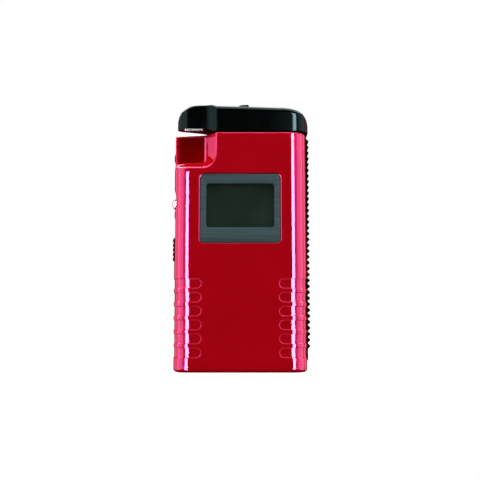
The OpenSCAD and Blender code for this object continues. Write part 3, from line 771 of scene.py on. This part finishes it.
def make_cap():
    """Hollow cap over the arm, with a small ramp that stands up from its top."""
    outer, inner = cap_skin(0, 2.5), cap_skin(CAP_WALL, 0.8)
    rows = outer + inner
    count = len(rows[0])
    half = len(outer)
    verts = [p for r in rows for p in r]
    faces = []

    def band(a, b):
        for i in range(count):
            j = (i + 1) % count
            faces.append((a * count + i, a * count + j, b * count + j, b * count + i))

    for r in range(half - 1):
        band(r, r + 1)
        band(half + r + 1, half + r)
    band(half, 0)
    for top, flip in ((half - 1, False), (2 * half - 1, True)):
        ring = range(top * count, top * count + count)
        faces.append(tuple(ring[::-1] if flip else ring))
    piece = new_piece("arm_cap", verts, faces, BLACK_CAP, 50)
    ramp = [(-1.4, -1), (3.9, -1), (3.3, 0.02), (3.1, 0.1), (2.6, 0.12), (0.4, -0.05), (-1.4, -0.6)]
    loops = [[(x, y, CAP_TOP + z) for x, z in ramp] for y in (-10.8, -8.2)]
    carve(piece, [loft("ramp", loops, None)], 50, "UNION")
    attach(piece, "arm")
    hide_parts("arm_cover")


# ---------------------------------------------------------------- rail
def tooth_profile():
    """Outer edge of the rail from its lower end to its neck: (x, z)."""
    pitch, low, count = 2.4, 9.0, 36
    tip, valley = RAIL_HIGH[0], HALF_W + 0.6
    plain = HALF_W - 0.1
    points = [(plain - 0.9, RAIL_LOW[2]), (plain - 0.3, RAIL_LOW[2] + 0.3), (plain, RAIL_LOW[2] + 1.0),
              (valley + 0.1, low - 4), (valley, low - 0.3)]
    steps = 12
    for i in range(count):
        for k in range(steps):
            t = k / steps
            wave = 0.5 - 0.5 * math.cos(math.tau * t)
            points.append((valley + (tip - valley) * wave ** 0.75, low + (i + t) * pitch))
    points.append((valley, low + count * pitch))
    points.append((plain, CAP_LOW[2] - 0.5))
    return points


def make_rail():
    """Toothed rail with a flange that keeps it in its slot and a lug for the spring."""
    edge = tooth_profile()
    back = 22.6
    half = 4.3
    soft = 0.35
    loops = []
    for y, grow in ((-half, soft), (-half + soft * 0.3, soft * 0.3), (-half + soft, 0),
                    (half - soft, 0), (half - soft * 0.3, soft * 0.3), (half, soft)):
        loop = [(x - grow, y, z) for x, z in edge]
        loop += [(back, y, edge[-1][1]), (back, y, edge[0][1])]
        loops.append(loop)
    piece = loft("toothed_rail", loops, BLACK_RAIL, sharp=45)
    flange = block((21, -6.2, 3.3), (24, 6.2, RAIL_HIGH[2]), 0.3)
    groove = block((20, -1.3, 0), (21.6, 1.3, 110))
    lug = block((16.8, 2.0, 39.6), (22, 4.0, 41.6), 0.2)
    carve(piece, [flange, lug], 45, "UNION")
    carve(piece, [groove, rod("cutter", (22.5, -9, PIN_Z), (22.5, 9, PIN_Z), 0.85, (0, 1, 0))], 45)
    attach(piece, "arm")
    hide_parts("slider_rail")


# ---------------------------------------------------------------- side controls
def make_knob():
    """Ribbed thumb piece: a grid across and along, raised into rounded ribs that fade at the rim."""
    half_y, half_z = 3.0, (KNOB_HIGH[2] - KNOB_LOW[2]) / 2
    base, height = -HALF_W + 0.15, -(KNOB_LOW[0] + HALF_W - 0.15)
    ribs, pitch = 5, 1.9
    across = np.linspace(-1, 1, 33)
    along = np.linspace(-1, 1, 151)
    edge = 0.55
    verts, faces = [], []
    for v in along:
        for u in across:
            y, z = u * half_y, v * half_z
            rim = min(half_y - abs(y), half_z - abs(z)) / edge
            rim = math.sqrt(max(0.0, 1 - (1 - min(max(rim, 0), 1)) ** 2))
            phase = (z / pitch + (ribs - 1) / 2) % 1
            inside = abs(z) < (ribs / 2) * pitch
            rib = abs(math.cos(math.pi * phase)) ** 0.7 if inside else 0.0
            crown = 1 - 0.12 * u * u
            verts.append((base - height * rim * crown * (0.55 + 0.45 * rib), y, KNOB_Z + z))
    wide = len(across)
    for j in range(len(along) - 1):
        for i in range(wide - 1):
            a = j * wide + i
            faces.append((a, a + 1, a + wide + 1, a + wide))
    ring = list(range(wide)) + [j * wide + wide - 1 for j in range(1, len(along))]
    ring += [(len(along) - 1) * wide + i for i in range(wide - 2, -1, -1)]
    ring += [j * wide for j in range(len(along) - 2, 0, -1)]
    inner = len(verts)
    for i in ring:
        verts.append((base + 0.1, verts[i][1], verts[i][2]))
    for k in range(len(ring)):
        n = (k + 1) % len(ring)
        faces.append((ring[n], ring[k], inner + k, inner + n))
    faces.append(tuple(range(inner, inner + len(ring))))
    piece = new_piece("ribbed_thumb_piece", verts, faces, BLACK_KNOB, 55)
    carve(piece, [block((0.1 - HALF_W, -1, KNOB_Z - 1.7), (-22.4, 1, KNOB_Z + 1.7), 0.2)], 55, "UNION")
    carve(piece, [block((-23.5, -0.65, KNOB_Z - 0.95), (-22, 0.65, KNOB_Z + 0.95))], 55)
    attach(piece, "range_switch")
    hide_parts("range_knob")


def make_dome():
    """Domed contact on a stem, with a collar inside the wall."""
    tip, r = DOME_LOW[0], 2.4
    base = -HALF_W - 0.2
    rise = base - tip
    arc_r = (r * r + rise * rise) / (2 * rise)
    profile = [(0.0, 0.02)]
    for i in range(1, 15):
        a = math.asin(r / arc_r) * i / 14
        profile.append((arc_r * (1 - math.cos(a)), arc_r * math.sin(a)))
    collar = 1.8 - HALF_W - tip
    profile += [(rise + 0.12, r - 0.05), (rise + 0.15, 1.5), (collar, 1.5), (collar + 0.05, 2.35),
                (collar + 1, 2.35), (collar + 1.1, 2.25), (collar + 1.1, 0.02)]
    piece = lathe("domed_contact", profile, (tip, 0, DOME_Z), (1, 0, 0), NICKEL, 64)
    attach(piece, "side_pin")
    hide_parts("side_contact")


def make_stud():
    """Small round button on a stem."""
    tip = STUD_LOW[0]
    profile = [(0.0, 0.5), (0.03, 1.1), (0.12, 1.6), (0.3, 1.95), (0.45, 2.05), (-HALF_W - tip, 2.05),
               (-HALF_W - tip, 1.25), (STUD_HIGH[0] - tip - 0.2, 1.25), (STUD_HIGH[0] - tip, 1.05)]
    piece = lathe("stud_button", profile, (tip, 0, STUD_Z), (1, 0, 0), BLACK_KNOB, 48)
    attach(piece, "housing")
    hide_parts("side_stud")


# ---------------------------------------------------------------- contacts, spring and screws
def make_arm_contact():
    """Nickel strip under the beak with a pressed dome and a tab that goes up to the conductor."""
    low, high = PAD_LOW, PAD_HIGH
    top = BEAK_LOW - 0.05
    mid_x, mid_y = (PAD_LOW[0] + PAD_HIGH[0]) / 2, (PAD_LOW[1] + PAD_HIGH[1]) / 2
    loops = []
    for z, grow in ((top - 0.35, -0.12), (top - 0.28, 0), (top - 0.05, 0), (top, -0.06)):
        loops.append(rounded_loop(8.6 + 2 * grow, 2.4 + 2 * grow, 0.9 + grow,
                                  lambda u, v: (mid_x + u, mid_y + v, z)))
    # The strip's near-black metal is painted shade under the beak.
    piece = loft("beak_contact", loops, NICKEL_PAINTED_SHADE)
    r, rise = 1.1, top - 0.3 - low[2]
    arc_r = (r * r + rise * rise) / (2 * rise)
    profile = [(0.0, 0.02)]
    for i in range(1, 11):
        a = math.asin(r / arc_r) * i / 10
        profile.append((arc_r * (1 - math.cos(a)), arc_r * math.sin(a)))
    profile.append((rise + 0.1, r))
    dome = lathe("dome", profile, (-21.8, mid_y, low[2]), (0, 0, 1), None, 48)
    tab = block((-19.6, -6.9, top - 0.15), (-17.6, -6.5, high[2]), 0.1)
    carve(piece, [dome, tab], 40, "UNION")
    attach(piece, "arm")
    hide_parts("arm_contact")


def make_spring():
    """Close-wound spring with straight ends."""
    x, y, coil_r, wire = 15.6, 3.0, 1.7, 0.45
    low, high, turns = 12.5, 37.9, 24
    steps, sides = 20, 8
    path = [Vector((x + coil_r, y, SPRING_LOW[2])), Vector((x + coil_r, y, low - 0.4))]
    for i in range(turns * steps + 1):
        a = math.tau * i / steps
        path.append(Vector((x + coil_r * math.cos(a), y + coil_r * math.sin(a),
                            low + (high - low) * i / (turns * steps))))
    path += [Vector((x + coil_r, y, high + 0.4)), Vector((x + coil_r, y, SPRING_HIGH[2]))]
    loops = []
    for i, point in enumerate(path):
        run = (path[min(i + 1, len(path) - 1)] - path[max(i - 1, 0)]).normalized()
        side = run.cross(Vector((0, 0, 1)))
        side = side.normalized() if side.length > 0.05 else Vector((0, 1, 0))
        up = side.cross(run).normalized()
        angles = [math.tau * k / sides for k in range(sides)]
        loops.append([point + (side * math.cos(a) + up * math.sin(a)) * wire for a in angles])
    piece = loft("pull_spring", loops, STEEL, sharp=60)
    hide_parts("return_spring")
    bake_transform(piece)


def cross_screw(name, x, y, z, axis, head_r, head_h, shank_r, length, drive):
    """Pan-head screw with a cross recess: the head's top is at the given point, on the side of the axis."""
    profile = [(-length, 0.05), (-length + 0.9, shank_r), (-head_h, shank_r), (-head_h, head_r),
               (-head_h * 0.55, head_r), (-head_h * 0.2, head_r * 0.86), (-head_h * 0.04, head_r * 0.6),
               (0, head_r * 0.3), (0, 0.02)]
    piece = lathe(name, profile, (x, y, z), axis, STEEL, 40, 35)
    turn = Vector((0, 0, 1)).rotation_difference(Vector(axis))
    cutters = []
    for a in (0, math.pi / 2):
        spin = Matrix.Rotation(a, 3, "Z")
        loops = []
        stations = ((0.3, drive * 1.05, 0.27), (-0.1, drive, 0.25), (-head_h * 0.75, drive * 0.35, 0.14))
        for depth, reach, half in stations:
            corners = [(reach, half), (-reach, half), (-reach, -half), (reach, -half)]
            loops.append([turn @ (spin @ Vector((u, v, depth))) + Vector((x, y, z)) for u, v in corners])
        cutters.append(loft("cutter", loops, None))
    return carve(piece, cutters, 35)


def join(name, pieces):
    """One object made of several, which all have the first one's material."""
    import bmesh
    work = bmesh.new()
    for piece in pieces:
        work.from_mesh(piece.data)
    mesh = bpy.data.meshes.new(name)
    work.to_mesh(mesh)
    work.free()
    mesh.materials.append(pieces[0].data.materials[0])
    for piece in pieces:
        bpy.data.objects.remove(piece)
    joined = bpy.data.objects.new(name, mesh)
    bpy.context.scene.collection.objects.link(joined)
    mesh.polygons.foreach_set("use_smooth", [True] * len(mesh.polygons))
    mesh.set_sharp_from_angle(angle=math.radians(35))
    return joined


def make_screws():
    """The three screws of the housing and the two of the cap, each set joined in one piece."""
    group = [cross_screw("screw", x, 8.0, z, (0, 1, 0), 2.1, 1.6, 0.95, 16, 1.3) for x, z in SCREWS]
    piece = join("case_screws", group)
    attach(piece, "housing")
    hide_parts("shell_screws")
    low = CAP_LOW[2] + 0.1
    group = [cross_screw("screw", 2, y, low, (0, 0, -1), 1.8, 0.65, 0.8, 6.4, 1.0) for y in (-8, 8)]
    piece = join("cap_screws", group)
    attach(piece, "arm")
    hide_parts("arm_screws")


def dress(node, look):
    """Gives a CAD node its material."""
    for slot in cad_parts[node].material_slots:
        slot.material = look


make_front_shell()
make_rear_shell()
make_bezel()
make_cap()
make_rail()
make_knob()
make_dome()
make_stud()
make_arm_contact()
make_spring()
make_screws()

LOOKS = {
    "display_window": CLEAR, "lcd_panel": LCD, "lcd_holder": WHITE_PLASTIC, "zebra_strip": RUBBER,
    "circuit_board": BOARD, "driver_chip": EPOXY, "boost_coil": FERRITE, "storage_capacitor": CAN,
    "load_resistors": RESISTOR, "switch_body": STEEL, "switch_slider": WHITE_PLASTIC, "seat_contact": NICKEL,
    "contact_track": BRASS, "contact_spring": STEEL, "contact_bush": WHITE_PLASTIC, "arm_conductor": BRASS,
    "wiper": BRASS, "arm_base": BLACK_BASE, "spring_anchor": STEEL, "board_screws": STEEL, "rail_pin": STEEL}
for node, look in LOOKS.items():
    dress(node, look)


# ---------------------------------------------------------------- stage, light and camera
def make_floor():
    """White ground that glows to the camera only, so it meets the white background."""
    size = 3000
    floor = new_piece("floor", [(-size, -size, 0), (size, -size, 0), (size, size, 0), (-size, size, 0)],
                      [(0, 1, 2, 3)], None)
    look = bpy.data.materials.new("floor_white")
    look.use_nodes = True
    nodes, links = look.node_tree.nodes, look.node_tree.links
    shader = nodes["Principled BSDF"]
    shader.inputs["Base Color"].default_value = (0.35, 0.35, 0.35, 1)
    shader.inputs["Roughness"].default_value = 0.9
    shader.inputs["Specular IOR Level"].default_value = 0.0
    glow = nodes.new("ShaderNodeEmission")
    path, blend = nodes.new("ShaderNodeLightPath"), nodes.new("ShaderNodeMixShader")
    both = nodes.new("ShaderNodeAddShader")
    links.new(shader.outputs["BSDF"], both.inputs[0])
    links.new(glow.outputs["Emission"], both.inputs[1])
    links.new(path.outputs["Is Camera Ray"], blend.inputs["Fac"])
    links.new(shader.outputs["BSDF"], blend.inputs[1])
    links.new(both.outputs["Shader"], blend.inputs[2])
    links.new(blend.outputs["Shader"], nodes["Material Output"].inputs["Surface"])
    glow.inputs["Strength"].default_value = 1.0
    floor.data.materials.append(look)
    floor.visible_glossy = False


def area_light(name, place, target, size, power, colour=(1, 1, 1), diffuse=True, glossy=True):
    """Soft box of a size in millimetres, aimed at a point. Power is its radiance."""
    lamp = bpy.data.lights.new(name, "AREA")
    lamp.shape = "RECTANGLE"
    lamp.size, lamp.size_y = size[0] * MM, size[1] * MM
    lamp.energy = power * math.pi * lamp.size * lamp.size_y
    lamp.color = colour
    light = bpy.data.objects.new(name, lamp)
    place, target = Vector(place) * MM, Vector(target) * MM
    light.location = place
    light.rotation_euler = (target - place).to_track_quat("-Z", "Y").to_euler()
    light.visible_camera = False
    light.visible_diffuse = diffuse
    light.visible_glossy = glossy
    bpy.context.scene.collection.objects.link(light)


PINK_CARD = (1, 0.42, 0.72)


def make_lights():
    """Strips beside the camera, panels along the sides, and soft light from above and behind."""
    middle = (0, 0, 50)
    for side in (-1, 1):
        reach = 225 if side < 0 else 420
        area_light(f"strip_{side + 1}", (side * 184, -650, reach - 350), (side * 20, 0, reach - 350),
                   (186, 700), 92, diffuse=False)
        area_light(f"panel_{side + 1}", (side * 600, -282, 150), (0, -282, 150),
                   (605, 900), 5.8, diffuse=False)
        area_light(f"wing_{side + 1}", (side * 450, -560, 150), (0, 0, 150),
                   (230, 900), 2.6, diffuse=False)
        area_light(f"panel_rear_{side + 1}", (side * 600, 260, 150), (0, 260, 150),
                   (480, 900), 2.8, PINK_CARD, diffuse=False)
        area_light(f"fill_{side + 1}", (side * 480, -130, 430), middle, (500, 500), 4.5, glossy=False)
    area_light("overhead", (0, -60, 600), middle, (600, 500), 1.5, glossy=False)
    area_light("overhead_gloss", (0, 120, 600), (0, 120, 0), (900, 900), 9.5, diffuse=False)
    area_light("rear", (0, 600, 400), middle, (600, 500), 3.0, glossy=False)
    world = bpy.data.worlds.new("studio")
    world.use_nodes = True
    nodes, links = world.node_tree.nodes, world.node_tree.links
    nodes.clear()
    seen, rest = nodes.new("ShaderNodeBackground"), nodes.new("ShaderNodeBackground")
    seen.inputs["Color"].default_value = (1, 1, 1, 1)
    seen.inputs["Strength"].default_value = 1.0
    rest.inputs["Color"].default_value = (1, 1, 1, 1)
    rest.inputs["Strength"].default_value = 0.04
    path = nodes.new("ShaderNodeLightPath")
    blend = nodes.new("ShaderNodeMixShader")
    out = nodes.new("ShaderNodeOutputWorld")
    links.new(path.outputs["Is Camera Ray"], blend.inputs["Fac"])
    links.new(rest.outputs["Background"], blend.inputs[1])
    links.new(seen.outputs["Background"], blend.inputs[2])
    links.new(blend.outputs["Shader"], out.inputs["Surface"])
    bpy.context.scene.world = world


LENS = 56.94
EYE_X = -0.1
EYE_HEIGHT = 19.5
EYE_DISTANCE = 300
EYE_PITCH = 6.22


def make_camera():
    """Low camera in front of the housing, pitched up at it."""
    lens = bpy.data.cameras.new("camera")
    lens.lens = LENS
    lens.sensor_width = 36
    camera = bpy.data.objects.new("camera", lens)
    camera.location = (EYE_X * MM, (-HALF_D - EYE_DISTANCE) * MM, EYE_HEIGHT * MM)
    camera.rotation_euler = (math.radians(90 + EYE_PITCH), 0, 0)
    bpy.context.scene.collection.objects.link(camera)
    bpy.context.scene.camera = camera


make_floor()
make_lights()
make_camera()
bpy.context.scene.view_settings.view_transform = "Standard"


def plain(bounds):
    return [[float(c) for c in corner] for corner in bounds]
